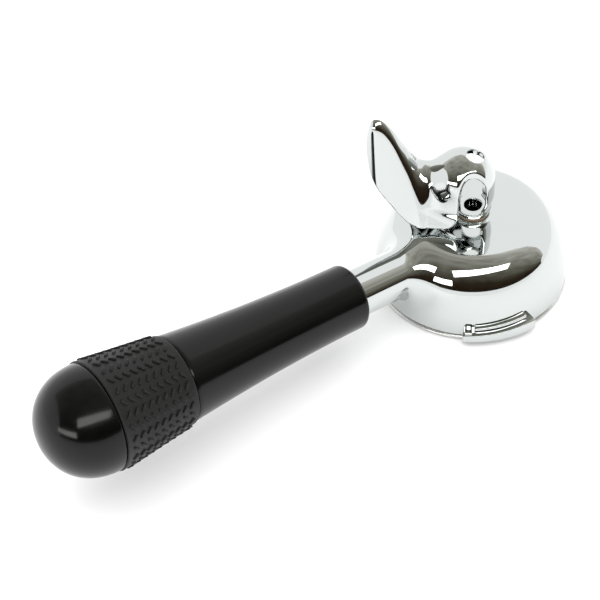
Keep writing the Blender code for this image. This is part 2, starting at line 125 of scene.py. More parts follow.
BEAK_DIRECTION = math.radians(137)
HUB_Z = BOSS_Z + 1.2 * MM
HUB_R = 6.2 * MM
HUB_H = 1.8 * MM
FLOW_R = 3.1 * MM
THREAD_PITCH = 1.0 * MM
THREAD_DEPTH = 0.5 * MM
THREAD_PLAY = 0.02 * MM
THREAD_CORE = 0.6 * MM
STUB_END_Z = SPOUT_BOX[0].z
SPOUT_WALL = 2.0 * MM
BULB_R = 11.4 * MM
BULB_LEAN = 4.0 * MM
BULB_Z = HUB_Z + 14.7 * MM
BULB_FLOOR_Z = HUB_Z + 1.0 * MM
BULB_WAIST_Z = HUB_Z + 8.8 * MM
WINDOW_TURN = math.radians(113)
WINDOW_DEPTH = 3.6 * MM
WINDOW_R = 7.4 * MM
HOOD_WIDTH = 15.0 * MM
HOOD_RISE = 18.4 * MM
HOOD_TOP_RADII = (5.0 * MM, 15.0 * MM)
HOOD_LEANS = (math.radians(19), math.radians(13))
HOOD_EDGE_RISE = 1.3 * MM
BEAK_REACH = 38.0 * MM
BEAK_TOP_RISE = 39.8 * MM
BULB_BLEND = 8.0 * MM
SPOUT_NET_STEP = 0.32 * MM

BASKET_R = 29.3 * MM
BASKET_WALL = 0.8 * MM
BASKET_STRAIGHT_Z = 8.0 * MM
BASKET_BASE_R = 25.4 * MM
BASKET_BASE_Z = RIM_BOX[1].z
BASKET_CORNER = 3.0 * MM
MOUTH_ROUND = 1.5 * MM
HOLE_PITCH = 1.9 * MM
HOLE_R = 0.36 * MM
HOLE_MARGIN = 0.6 * MM
SPRING_OPENING = math.radians(24)


# ---- materials ----

def principled(name, base, roughness, metallic=0.0):
    """A material whose shader sockets hold everything that is the same all over."""
    material = bpy.data.materials.new(name)
    material.use_nodes = True
    shader = material.node_tree.nodes["Principled BSDF"]
    shader.inputs["Base Color"].default_value = (*base, 1)
    shader.inputs["Roughness"].default_value = roughness
    shader.inputs["Metallic"].default_value = metallic
    return material, material.node_tree, shader


def noise(tree, scale, detail=4.0, stretch=(1, 1, 1)):
    """Noise in object space, optionally stretched."""
    place = tree.nodes.new("ShaderNodeTexCoord")
    mapping = tree.nodes.new("ShaderNodeMapping")
    mapping.inputs["Scale"].default_value = stretch
    texture = tree.nodes.new("ShaderNodeTexNoise")
    texture.inputs["Scale"].default_value = scale
    texture.inputs["Detail"].default_value = detail
    tree.links.new(place.outputs["Object"], mapping.inputs["Vector"])
    tree.links.new(mapping.outputs["Vector"], texture.inputs["Vector"])
    return texture.outputs["Fac"]


def spread(tree, value, low, high):
    """Maps the middle of a noise texture's values to a range."""
    node = tree.nodes.new("ShaderNodeMapRange")
    node.inputs["From Min"].default_value = 0.3
    node.inputs["From Max"].default_value = 0.7
    node.inputs["To Min"].default_value = low
    node.inputs["To Max"].default_value = high
    tree.links.new(value, node.inputs["Value"])
    return node.outputs["Result"]


def mix_colours(tree, value, low, high):
    node = tree.nodes.new("ShaderNodeMix")
    node.data_type = "RGBA"
    node.inputs["A"].default_value = (*low, 1)
    node.inputs["B"].default_value = (*high, 1)
    tree.links.new(value, node.inputs["Factor"])
    return node.outputs["Result"]


def bump(tree, shader, height, distance, strength=1.0):
    node = tree.nodes.new("ShaderNodeBump")
    node.inputs["Distance"].default_value = distance
    node.inputs["Strength"].default_value = strength
    tree.links.new(height, node.inputs["Height"])
    tree.links.new(node.outputs["Normal"], shader.inputs["Normal"])


def vary_roughness(tree, shader, value, low, high):
    tree.links.new(spread(tree, value, low, high), shader.inputs["Roughness"])


def vary_colour(tree, shader, value, low, high):
    tree.links.new(mix_colours(tree, value, low, high), shader.inputs["Base Color"])


def chrome_material():
    """Bright chrome plating with a trace of haze and of polishing waves."""
    material, tree, shader = principled("chrome_plate", (0.54, 0.56, 0.555), 0.04, 1.0)
    haze = noise(tree, 55.0, 5.0)
    vary_roughness(tree, shader, haze, 0.025, 0.065)
    tint = noise(tree, 18.0, 2.0)
    vary_colour(tree, shader, tint, (0.52, 0.55, 0.545), (0.56, 0.58, 0.575))
    bump(tree, shader, noise(tree, 70.0, 1.0), 0.05 * MM, 0.25)
    return material


def basket_material():
    """Pressed stainless sheet with fine drawing marks round the wall."""
    material, tree, shader = principled("basket_sheet", (0.58, 0.58, 0.57), 0.2, 1.0)
    marks = noise(tree, 90.0, 6.0, (1, 1, 14))
    vary_roughness(tree, shader, marks, 0.14, 0.32)
    bump(tree, shader, marks, 0.03 * MM, 0.5)
    return material


def turned_material(name, base, grain):
    """Drawn or turned metal with fine marks."""
    material, tree, shader = principled(name, base, 0.3, 1.0)
    marks = noise(tree, grain, 5.0)
    vary_roughness(tree, shader, marks, 0.22, 0.42)
    bump(tree, shader, marks, 0.03 * MM, 0.4)
    return material


def handle_material():
    """Black gloss phenolic with faint swirl and fine handling scratches."""
    material, tree, shader = principled("phenolic_gloss", (0.0015, 0.0016, 0.0015), 0.14)
    shader.inputs["Specular IOR Level"].default_value = 0.2
    shader.inputs["Coat Weight"].default_value = 0.1
    shader.inputs["Coat Roughness"].default_value = 0.05
    swirl = noise(tree, 30.0, 6.0)
    vary_colour(tree, shader, swirl, (0.0010, 0.0011, 0.0010), (0.0022, 0.0023, 0.0022))
    rub = noise(tree, 240.0, 3.0, (0.25, 1, 1))
    vary_roughness(tree, shader, rub, 0.12, 0.22)
    bump(tree, shader, noise(tree, 45.0, 2.0), 0.04 * MM, 0.2)
    return material


def rubber_material():
    """Matt rubber with a fine moulded grain."""
    material, tree, shader = principled("grip_rubber", (0.005, 0.005, 0.005), 0.55)
    shader.inputs["Specular IOR Level"].default_value = 0.3
    grain = noise(tree, 1400.0, 3.0)
    patches = noise(tree, 60.0, 4.0)
    vary_colour(tree, shader, patches, (0.0035, 0.0037, 0.0036), (0.0070, 0.0073, 0.0071))
    vary_roughness(tree, shader, patches, 0.42, 0.6)
    bump(tree, shader, grain, 0.04 * MM, 0.6)
    return material


def washer_material():
    """Pressed fibre with a grain."""
    material, tree, shader = principled("washer_fibre", (0.30, 0.20, 0.13), 0.6)
    fibres = noise(tree, 500.0, 6.0, (1, 1, 6))
    vary_colour(tree, shader, fibres, (0.20, 0.13, 0.085), (0.38, 0.27, 0.18))
    bump(tree, shader, fibres, 0.05 * MM, 0.5)
    return material


CHROME = chrome_material()
BASKET = basket_material()
SPRING = turned_material("spring_wire", (0.42, 0.42, 0.43), 300.0)
STUD = turned_material("stud_steel", (0.45, 0.45, 0.46), 160.0)
BRASS = turned_material("turned_brass", (0.62, 0.43, 0.16), 160.0)
PHENOLIC = handle_material()
RUBBER = rubber_material()
WASHER = washer_material()


# ---- mesh helpers ----

def finish_mesh(name, mesh, material, body, nodes=()):
    """Makes the mesh a piece of the model on one body."""
    mesh.materials.append(material)
    obj = bpy.data.objects.new(name, mesh)
    bpy.context.scene.collection.objects.link(obj)
    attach(obj, body)
    if nodes:
        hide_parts(*nodes)
    return obj


def from_bmesh(name, bm, sharp=40):
    """A smooth-shaded mesh whose edges over the angle sharp, in degrees, stay sharp."""
    bmesh.ops.recalc_face_normals(bm, faces=bm.faces)
    mesh = bpy.data.meshes.new(name)
    bm.to_mesh(mesh)
    bm.free()
    mesh.shade_smooth()
    mesh.set_sharp_from_angle(angle=math.radians(sharp))
    return mesh


HEAD_FRAME = Matrix.Translation((AXIS_X, 0, 0))
HANDLE_FRAME = (
    Matrix.Translation((AXIS_X, 0, HANDLE_AXIS_Z))
    @ Matrix.Rotation(math.pi, 4, "Z")
    @ Matrix.Rotation(-HANDLE_PITCH, 4, "Y")
)
SPOUT_FRAME = HEAD_FRAME @ Matrix.Rotation(BEAK_DIRECTION, 4, "Z")


def turned(profile, segments, placement, along_x=False):
    """A turned solid, as rings of quads, from a (radius, height) outline that may end on the axis."""
    bm = bmesh.new()
    rings = []
    for radius, height in profile:
        if radius < 1e-9:
            rings.append([bm.verts.new((height, 0, 0) if along_x else (0, 0, height))])
            continue
        ring = []
        for i in range(segments):
            turn = math.tau * i / segments
            a = radius * math.cos(turn)
            b = radius * math.sin(turn)
            ring.append(bm.verts.new((height, a, b) if along_x else (a, b, height)))
        rings.append(ring)
    pairs = list(zip(rings, rings[1:]))
    if len(rings[0]) > 1 and len(rings[-1]) > 1:
        pairs.append((rings[-1], rings[0]))
    for low, high in pairs:
        for i in range(segments):
            j = (i + 1) % segments
            corners = [low[i % len(low)], low[j % len(low)], high[j % len(high)], high[i % len(high)]]
            unique = list(dict.fromkeys(corners))
            if len(unique) > 2:
                bm.faces.new(unique)
    bm.transform(placement)
    return bm


def arc(centre_r, centre_z, radius_r, radius_z, start, end, steps):
    """(radius, height) points along part of an ellipse."""
    points = []
    for i in range(steps + 1):
        angle = start + (end - start) * i / steps
        points.append((centre_r + radius_r * math.cos(angle), centre_z + radius_z * math.sin(angle)))
    return points


def rounded(outline, radius, steps=4):
    """The outline, from (radius, height) points, with each corner turned into a small round."""
    result = []
    for i, point in enumerate(outline):
        here = Vector(point)
        before = Vector(outline[i - 1])
        after = Vector(outline[(i + 1) % len(outline)])
        cut_in = (before - here).normalized() * radius
        cut_out = (after - here).normalized() * radius
        for k in range(steps + 1):
            t = k / steps
            spot = here + cut_in * (1 - t) ** 2 + cut_out * t**2
            result.append((spot.x, spot.y))
    return result


# ---- implicit surfaces: fields are negative inside, and a net of quads is drawn over zero ----

def smooth_min(a, b, k):
    """Joins two fields with a fillet about k wide."""
    h = np.maximum(k - np.abs(a - b), 0) / k
    return np.minimum(a, b) - h * h * k / 4


def smooth_max(a, b, k):
    """Keeps what two fields share, with edges rounded over about k."""
    return -smooth_min(-a, -b, k)


def gradient(field, points, step):
    columns = []
    for axis in range(3):
        offset = np.zeros(3)
        offset[axis] = step
        columns.append((field(points + offset) - field(points - offset)) / (2 * step))
    return np.stack(columns, 1)


def surface_net(field, low, high, step):
    """Quads over the field's zero surface, with each vertex moved onto it."""
    axes = [np.arange(low[i] - step, high[i] + 2 * step, step) for i in range(3)]
    grid = np.stack(np.meshgrid(*axes, indexing="ij"), -1)
    shape = grid.shape[:3]
    values = field(grid.reshape(-1, 3)).reshape(shape)
    inside = values < 0
    cells = tuple(n - 1 for n in shape)
    total = np.zeros((*cells, 3))
    count = np.zeros(cells)
    corners = [(i, j, k) for i in (0, 1) for j in (0, 1) for k in (0, 1)]

    def window(array, corner):
        return array[tuple(slice(c, c + n) for c, n in zip(corner, cells))]

    for first in corners:
        for axis in range(3):
            if first[axis]:
                continue
            second = tuple(c + (i == axis) for i, c in enumerate(first))
            va = window(values, first)
            vb = window(values, second)
            crossing = window(inside, first) != window(inside, second)
            share = np.where(crossing, va / np.where(crossing, va - vb, 1), 0)
            spot = np.zeros_like(total) + first
            spot[..., axis] += share
            total += np.where(crossing[..., None], spot, 0)
            count += crossing
    active = count > 0
    index = np.full(cells, -1)
    index[active] = np.arange(active.sum())
    base = np.argwhere(active)
    origin = np.array([a[0] for a in axes])
    points = origin + (base + total[active] / count[active][:, None]) * step

    quads = []
    for axis in range(3):
        u = (axis + 1) % 3
        v = (axis + 2) % 3
        lows = [slice(1, n - 1) for n in shape]
        lows[axis] = slice(0, shape[axis] - 1)
        highs = list(lows)
        highs[axis] = slice(1, shape[axis])
        a = inside[tuple(lows)]
        b = inside[tuple(highs)]
        change = np.argwhere(a != b)
        start = np.array([s.start for s in lows])
        cell = change + start
        leaving = a[tuple(change.T)]

        def at(du, dv):
            where = cell.copy()
            where[:, u] -= du
            where[:, v] -= dv
            return index[tuple(where.T)]

        ring = np.stack([at(1, 1), at(0, 1), at(0, 0), at(1, 0)], 1)
        ring[~leaving] = ring[~leaving][:, ::-1]
        quads.append(ring)
    quads = np.concatenate(quads)

    for _ in range(4):
        slope = gradient(field, points, step * 0.05)
        size = np.maximum((slope**2).sum(1), 1e-4)
        move = -slope * (field(points) / size)[:, None]
        length = np.linalg.norm(move, axis=1)
        move *= np.minimum(1, 0.5 * step / np.maximum(length, 1e-12))[:, None]
        points = points + move
    normals = gradient(field, points, step * 0.05)
    normals /= np.maximum(np.linalg.norm(normals, axis=1), 1e-12)[:, None]
    return points, quads, normals


def net_mesh(name, field, low, high, step, placement):
    """The field's surface as a mesh in world space, with normals from the field's slope."""
    points, quads, normals = surface_net(field, low, high, step)
    turn = np.array(placement.to_3x3())
    world = points @ turn.T + np.array(placement.translation)
    mesh = bpy.data.meshes.new(name)
    mesh.vertices.add(len(world))
    mesh.vertices.foreach_set("co", world.astype(np.float32).ravel())
    mesh.loops.add(quads.size)
    mesh.loops.foreach_set("vertex_index", quads.astype(np.int32).ravel())
    mesh.polygons.add(len(quads))
    mesh.polygons.foreach_set("loop_start", np.arange(0, quads.size, 4, dtype=np.int32))
    mesh.update(calc_edges=True)
    mesh.shade_smooth()
    mesh.normals_split_custom_set_from_vertices((normals @ turn.T).tolist())
    return mesh


def cylinder(radial, height, radius, low, high, edge):
    """A capped cylinder with rounded edges."""
    return smooth_max(radial - radius, np.maximum(low - height, height - high), edge)


def dome(radial, height, outer_r, flat_r, skirt_z, top_z, crown=0.0):
    """A skirt that runs through an elliptic shoulder into a top with a slight crown."""
    a = outer_r - flat_r
    b = top_z - skirt_z
    height = height + crown * (radial / flat_r) ** 2
    x = np.maximum(radial - flat_r, 0) / a
    y = np.maximum(height - skirt_z, 0) / b
    level = np.hypot(x, y)
    slope = np.hypot(x / a, y / b) / np.maximum(level, 1e-6)
    return (level - 1) / np.maximum(slope, 1 / max(a, b))


# ---- the head casting ----

def head_field(p):
    """The head about its own vertical axis at the origin, with the neck towards -X."""
    x, y, z = p.T
    radial = np.hypot(x, y)
    along = -x * math.cos(HANDLE_PITCH) + (z - HANDLE_AXIS_Z) * math.sin(HANDLE_PITCH)
    lift = x * math.sin(HANDLE_PITCH) + (z - HANDLE_AXIS_Z) * math.cos(HANDLE_PITCH)
    neck = cylinder(np.hypot(y, lift), along, NECK_R, 20 * MM, NECK_END, 0.8 * MM)
    boss = cylinder(radial, z, BOSS_R, 20 * MM, BOSS_Z, HEAD_EDGE)
    body = dome(radial, z, HEAD_R, DOME_FLAT_R, SKIRT_TOP_Z, DOME_TOP_Z, DOME_CROWN)
    body = smooth_min(body, neck, NECK_BLEND)
    body = smooth_min(body, boss, BOSS_BLEND)
    body = smooth_max(body, RIM_Z - z, RIM_ROUND)
    hollow = dome(radial, z, CAVITY_R, DOME_FLAT_R, SKIRT_TOP_Z, CEILING_Z)
    pad = cylinder(radial, z, INNER_BOSS_R, CEILING_Z - INNER_BOSS_DROP, 60 * MM, HEAD_EDGE)
    hollow = smooth_max(hollow, -pad, 0.8 * MM)
    room = SPRING_WIRE_R + GAP
    groove = cylinder(radial, z, SPRING_R + room, SPRING_Z - room, SPRING_Z + room, 0.2 * MM)
    hollow = np.minimum(hollow, groove)
    body = smooth_max(body, -hollow, 0.7 * MM)
    stud_hole = cylinder(
        np.hypot(y, lift), along, STUD_HOLE_R, NECK_END - STUD_IN_NECK, NECK_END + 9 * MM, 0.2 * MM
    )
    body = smooth_max(body, -stud_hole, 0.4 * MM)
    return smooth_max(body, STUB_R + GAP - radial, 0.4 * MM)


def make_head():
    low = (-NECK_END - MM, -HEAD_R - MM, RIM_Z - MM)
    high = (HEAD_R + MM, HEAD_R + MM, HEAD_BOX[1].z + MM)
    mesh = net_mesh("head_casting", head_field, low, high, HEAD_NET_STEP, HEAD_FRAME)
    finish_mesh("head_casting", mesh, CHROME, "head", ["head_body"])


def sector(name, inner, outer, low, high_start, high_end, start, end, edge):
    """A chromed block bent round the head, with rounded edges and a top that may climb."""
    bm = bmesh.new()
    steps = 40
    rings = []
    for i in range(steps + 1):
        share = i / steps
        angle = start + (end - start) * share
        high = high_start + (high_end - high_start) * share
        corners = ((inner, low), (outer, low), (outer, high), (inner, high))
        rings.append([
            bm.verts.new((r * math.cos(angle), r * math.sin(angle), z)) for r, z in corners
        ])
    for a, b in zip(rings, rings[1:]):
        for i in range(4):
            j = (i + 1) % 4
            bm.faces.new((a[i], a[j], b[j], b[i]))
    bm.faces.new(rings[0])
    bm.faces.new(rings[-1])
    bmesh.ops.recalc_face_normals(bm, faces=bm.faces)
    sharp = [e for e in bm.edges if len(e.link_faces) == 2 and e.calc_face_angle() > 0.6]
    bmesh.ops.bevel(bm, geom=sharp, offset=edge, segments=4, profile=0.5, affect="EDGES")
    bm.transform(HEAD_FRAME)
    finish_mesh(name, from_bmesh(name, bm, 50), CHROME, "head")


def make_lugs():
    """Two ramped locking lugs, each with a ridge above the step and a stop at the low end."""
    inner = HEAD_R - LUG_ROOT
    bottom = RIM_Z + MM
    low = RIM_Z + LUG_LOW_H
    high = RIM_Z + LUG_HIGH_H
    stop = low + LUG_STOP_RISE
    for side, middle in (("near", LUG_MIDDLE), ("far", LUG_MIDDLE + math.pi)):
        start = middle - LUG_SPAN / 2
        end = middle + LUG_SPAN / 2
        sector(f"lug_step_{side}", inner, LUG_R, RIM_Z, low, high, start, end, 0.35 * MM)
        sector(
            f"lug_ridge_{side}", inner, LUG_RIDGE_R, bottom, low + LUG_RIDGE_RISE,
            high + LUG_RIDGE_RISE, start + LUG_RIDGE_INSETS[0], end - LUG_RIDGE_INSETS[1], 0.5 * MM,
        )
        sector(
            f"lug_stop_{side}", inner, LUG_R - LUG_STOP_INSET, bottom, stop, stop,
            start + LUG_STOP_PLACE[0], start + LUG_STOP_PLACE[1], 0.6 * MM,
        )


# ---- the spout casting ----

def smooth_path(keys, at):
    """Reads a smooth curve through (position, value) keys, at many positions."""
    xs = np.array([k[0] for k in keys])
    ys = np.array([k[1] for k in keys])
    steps = np.diff(ys) / np.diff(xs)
    middle = (ys[2:] - ys[:-2]) / (xs[2:] - xs[:-2])
    slopes = np.concatenate((steps[:1], middle, steps[-1:]))
    where = np.clip(at, xs[0], xs[-1])
    i = np.clip(np.searchsorted(xs, where, side="right") - 1, 0, len(xs) - 2)
    h = xs[i + 1] - xs[i]
    t = (where - xs[i]) / h
    return (
        (2 * t**3 - 3 * t**2 + 1) * ys[i] + (t**3 - 2 * t**2 + t) * h * slopes[i]
        + (3 * t**2 - 2 * t**3) * ys[i + 1] + (t**3 - t**2) * h * slopes[i + 1]
    )


VALLEY_Z = HUB_Z + HOOD_RISE
TIP_Z = HUB_Z + BEAK_TOP_RISE
BRIM_Z = HUB_Z + HOOD_EDGE_RISE
CREST_KEYS = [
    (0, VALLEY_Z + 2 * MM), (BEAK_REACH * 0.21, VALLEY_Z), (BEAK_REACH * 0.47, VALLEY_Z + MM),
    (BEAK_REACH * 0.64, VALLEY_Z + (TIP_Z - VALLEY_Z) * 0.45),
    (BEAK_REACH * 0.76, VALLEY_Z + (TIP_Z - VALLEY_Z) * 0.81),
    (BEAK_REACH * 0.84, TIP_Z - 0.3 * MM), (BEAK_REACH * 0.90, TIP_Z + 0.7 * MM),
    (BEAK_REACH * 0.96, TIP_Z - 0.2 * MM), (BEAK_REACH, TIP_Z - 4 * MM),
]
EDGE_KEYS = [
    (0, BRIM_Z), (BEAK_REACH * 0.42, BRIM_Z - 0.2 * MM), (BEAK_REACH * 0.58, BRIM_Z + 1.0 * MM),
    (BEAK_REACH * 0.75, BRIM_Z + 7.0 * MM), (BEAK_REACH * 0.9, BRIM_Z + 14.2 * MM),
    (BEAK_REACH * 0.97, BRIM_Z + 21 * MM), (BEAK_REACH, TIP_Z - 9 * MM),
]
WIDTH_KEYS = [
    (0, HOOD_WIDTH), (BEAK_REACH * 0.2, HOOD_WIDTH), (BEAK_REACH * 0.45, HOOD_WIDTH * 0.9),
    (BEAK_REACH * 0.6, HOOD_WIDTH * 0.8), (BEAK_REACH * 0.75, HOOD_WIDTH * 0.66),
    (BEAK_REACH * 0.9, HOOD_WIDTH * 0.52), (BEAK_REACH, HOOD_WIDTH * 0.38),
]


def bulb_field(u, t, z, inset):
    """A bulb that swells from the hub to a round crown, leaning towards the beak as it widens."""
    floor_z = BULB_FLOOR_Z + inset
    share = np.clip((z - floor_z) / (BULB_WAIST_Z - floor_z), 0, 1)
    swell = share * share * (3 - 2 * share)
    radius = HUB_R + (BULB_R - HUB_R) * swell
    above = np.maximum(z - BULB_Z, 0)
    across = np.hypot(u - BULB_LEAN * swell, t)
    side = np.sqrt(across**2 + above**2) - (radius - inset)
    return smooth_max(side, floor_z - z, 1.0 * MM)


def hood_field(u, t, z, inset, start):
    """The beak as an upright arch along U, high and narrow at its tip, low and wide over the hub."""
    crest = smooth_path(CREST_KEYS, u + inset * 0.6) - inset
    edge = smooth_path(EDGE_KEYS, u)
    width = smooth_path(WIDTH_KEYS, u + inset * 0.6) - inset
    lean = np.interp(u, (BEAK_REACH * 0.5, BEAK_REACH * 0.95), HOOD_LEANS)
    flank = (np.abs(t) - width) * np.cos(lean) + (z - edge) * np.sin(lean)
    top_r = np.interp(u, (BEAK_REACH * 0.4, BEAK_REACH * 0.9), HOOD_TOP_RADII)
    top = z - crest + t * t / (2 * top_r)
    arch = smooth_max(flank, top, np.clip(width * 0.6, 2 * MM, 5 * MM))
    arch = smooth_max(arch, u - (BEAK_REACH - inset), 5 * MM if not inset else 2 * MM)
    return smooth_max(arch, start - u, 1.5 * MM)


def spout_field(p):
    """The spout about the hub's axis, with its beak towards +X."""
    u, t, z = p.T
    radial = np.hypot(u, t)
    hood = hood_field(u, t, z, 0, MM)
    hood_inside = hood_field(u, t, z, SPOUT_WALL, -MM)
    outside = smooth_min(bulb_field(u, t, z, 0), hood, BULB_BLEND)
    inside = smooth_min(bulb_field(u, t, z, SPOUT_WALL), hood_inside, BULB_BLEND)
    shell = smooth_max(outside, -inside, 0.4 * MM)
    reach = BULB_R - WINDOW_DEPTH + WINDOW_R
    scoop_u = BULB_LEAN + reach * math.cos(WINDOW_TURN)
    scoop_t = reach * math.sin(WINDOW_TURN)
    scoop = WINDOW_R - np.hypot(u - scoop_u, np.abs(t) - scoop_t)
    below = smooth_path(EDGE_KEYS, u) - z
    shell = smooth_max(shell, smooth_max(below, scoop, 5 * MM), 0.7 * MM)
    hub = cylinder(radial, z, HUB_R, HUB_Z, HUB_Z + HUB_H, 0.5 * MM)
    body = smooth_min(shell, hub, 1.5 * MM)
    stub = cylinder(radial, z, STUB_R - THREAD_CORE, STUB_END_Z, HUB_Z + MM, 0.5 * MM)
    body = smooth_min(body, stub, 0.5 * MM)
    return smooth_max(body, FLOW_R - radial, 0.5 * MM)


def make_spout():
    low = (-9 * MM, -HOOD_WIDTH - MM, STUB_END_Z - MM)
    high = (BEAK_REACH + MM, HOOD_WIDTH + MM, TIP_Z + MM)
    mesh = net_mesh("spout_casting", spout_field, low, high, SPOUT_NET_STEP, SPOUT_FRAME)
    finish_mesh("spout_casting", mesh, CHROME, "spout", ["spout"])


def make_thread():
    """A sleeve round the spout's stub with the thread's helix on it, fading out at both ends."""
    steps = 180
    rows = 72
    top = HUB_Z
    bottom = STUB_END_Z + 0.5 * MM
    bm = bmesh.new()
    rings = []
    for i in range(rows + 1):
        z = bottom + (top - bottom) * i / rows
        fade = min(1.0, 9 * min(i, rows - i) / rows)
        ring = []
        for j in range(steps):
            turn = math.tau * j / steps
            phase = (z / THREAD_PITCH - turn / math.tau) % 1
            depth = THREAD_DEPTH * abs(2 * phase - 1) * fade + 0.4 * MM * (1 - fade)
            radius = STUB_R - THREAD_PLAY - depth
            ring.append(bm.verts.new((radius * math.cos(turn), radius * math.sin(turn), z)))
        rings.append(ring)
    for a, b in zip(rings, rings[1:]):
        for j in range(steps):
            k = (j + 1) % steps
            bm.faces.new((a[j], a[k], b[k], b[j]))
    inner = [
        [bm.verts.new((v.co.x * 0.8, v.co.y * 0.8, v.co.z)) for v in ring]
        for ring in (rings[0], rings[-1])
    ]
    for a, b in ((rings[0], inner[0]), (inner[0], inner[1]), (inner[1], rings[-1])):
        for j in range(steps):
            k = (j + 1) % steps
            bm.faces.new((a[j], b[j], b[k], a[k]))
    bm.transform(SPOUT_FRAME)
    finish_mesh("spout_thread", from_bmesh("spout_thread", bm, 50), CHROME, "spout")


def make_washer():
    low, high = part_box("spout_washer")
    radius = (high.x - low.x) / 2
    inner = STUB_R + GAP
    corners = [(inner, low.z), (radius, low.z), (radius, high.z), (inner, high.z)]
    outline = rounded(corners, 0.12 * MM)
    mesh = from_bmesh("sealing_washer", turned(outline, 120, HEAD_FRAME))
    finish_mesh("sealing_washer", mesh, WASHER, "washer", ["spout_washer"])


# ---- basket and spring ----

def make_basket():
    """A pressed basket with a rolled flange, a tapered wall and a perforated base."""
    corner_z = BASKET_BASE_Z - BASKET_CORNER
    corner_r = BASKET_BASE_R - BASKET_CORNER
    inner_corner = BASKET_CORNER - BASKET_WALL
    mouth_r = BASKET_R - BASKET_WALL + MOUTH_ROUND
    half = FLANGE_T / 2
    quarter = math.pi / 2
    outline = [
        (0, BASKET_BASE_Z - BASKET_WALL),
        *arc(corner_r, corner_z, inner_corner, inner_corner, quarter, 0, 10),
        (BASKET_R - BASKET_WALL, BASKET_STRAIGHT_Z),
        (BASKET_R - BASKET_WALL, MOUTH_ROUND),
        *arc(mouth_r, MOUTH_ROUND, MOUTH_ROUND, MOUTH_ROUND, math.pi, 1.5 * math.pi, 6),
        *arc(FLANGE_R - half, half, half, half, -quarter, quarter, 12),
        (BASKET_R + MM, FLANGE_T),
        (BASKET_R, FLANGE_T + 0.6 * MM),
        (BASKET_R, BASKET_STRAIGHT_Z),
        *arc(corner_r, corner_z, BASKET_CORNER, BASKET_CORNER, 0, quarter, 12),
        (0, BASKET_BASE_Z),
    ]
    mesh = from_bmesh("pressed_basket", turned(outline, 160, HEAD_FRAME), 35)
    basket = finish_mesh("pressed_basket", mesh, BASKET, "basket", ["filter_basket"])
    pierce(basket, corner_r)


def pierce(basket, corner_r):
    """Cuts rows of fine holes through the flat of the basket's base, inside its corner."""
    bm = bmesh.new()
    reach = int(corner_r / HOLE_PITCH) + 1
    for row in range(-reach, reach + 1):
        for column in range(-reach, reach + 1):
            x = (column + 0.5 * (row % 2)) * HOLE_PITCH
            y = row * HOLE_PITCH * math.sqrt(3) / 2
            if math.hypot(x, y) > corner_r - HOLE_MARGIN:
                continue
            spot = HEAD_FRAME @ Matrix.Translation((x, y, BASKET_BASE_Z - BASKET_WALL / 2))
            bmesh.ops.create_cone(
                bm, cap_ends=True, segments=10, radius1=HOLE_R, radius2=HOLE_R,
                depth=BASKET_WALL * 3, matrix=spot,
            )
    holes_mesh = bpy.data.meshes.new("hole_cutter")
    bm.to_mesh(holes_mesh)
    bm.free()
    holes = bpy.data.objects.new("hole_cutter", holes_mesh)
    bpy.context.scene.collection.objects.link(holes)
    modifier = basket.modifiers.new("perforations", "BOOLEAN")
    modifier.object = holes
    modifier.operation = "DIFFERENCE"
    modifier.solver = "EXACT"
    bpy.context.view_layer.update()
    graph = bpy.context.evaluated_depsgraph_get()
    pierced = bpy.data.meshes.new_from_object(basket.evaluated_get(graph))
    basket.modifiers.clear()
    basket.data = pierced
    bpy.data.objects.remove(holes)


def make_spring():
    """The wire ring, open at one side, with tapered ends."""
    steps = 220
    sides = 14
    bm = bmesh.new()
    rings = []
    for i in range(steps + 1):
        share = i / steps
        angle = SPRING_OPENING / 2 + (math.tau - SPRING_OPENING) * share
        taper = min(1.0, 40 * min(share, 1 - share) + 0.35)
        direction = Vector((math.cos(angle), math.sin(angle), 0))
        wire = SPRING_WIRE_R * taper
        ring = []
        for j in range(sides):
            turn = math.tau * j / sides
            offset = direction * (SPRING_R + wire * math.cos(turn))
            ring.append(bm.verts.new(offset + Vector((0, 0, SPRING_Z + wire * math.sin(turn)))))
        rings.append(ring)
    for a, b in zip(rings, rings[1:]):
        for j in range(sides):
            k = (j + 1) % sides
            bm.faces.new((a[j], a[k], b[k], b[j]))
    bm.faces.new(rings[0])
    bm.faces.new(rings[-1])
    bm.transform(HEAD_FRAME)
    mesh = from_bmesh("spring_wire", bm, 60)
    finish_mesh("spring_wire", mesh, SPRING, "head", ["basket_spring"])


# ---- handle ----

def handle_radius(at):
    """The handle's radius at a distance from the head's axis."""
    share = (at - HANDLE_START) / (SLEEVE_END - HANDLE_START)
    return HANDLE_START_R + (HANDLE_END_R - HANDLE_START_R) * share**HANDLE_SWELL


def handle_side(start, end, steps, offset=0.0):
    spots = [start + (end - start) * i / steps for i in range(steps + 1)]
    return [(handle_radius(at) + offset, at) for at in spots]


def blunt_arc(start, radius, length, steps):
    """(radius, along) points over a domed end that is fuller than a half ellipse."""
    points = []
    for i in range(steps + 1):
        turn = math.pi / 2 * i / steps
        across = radius * math.cos(turn) ** CAP_FULLNESS
        points.append((across, start + length * math.sin(turn) ** CAP_FULLNESS))
    return points


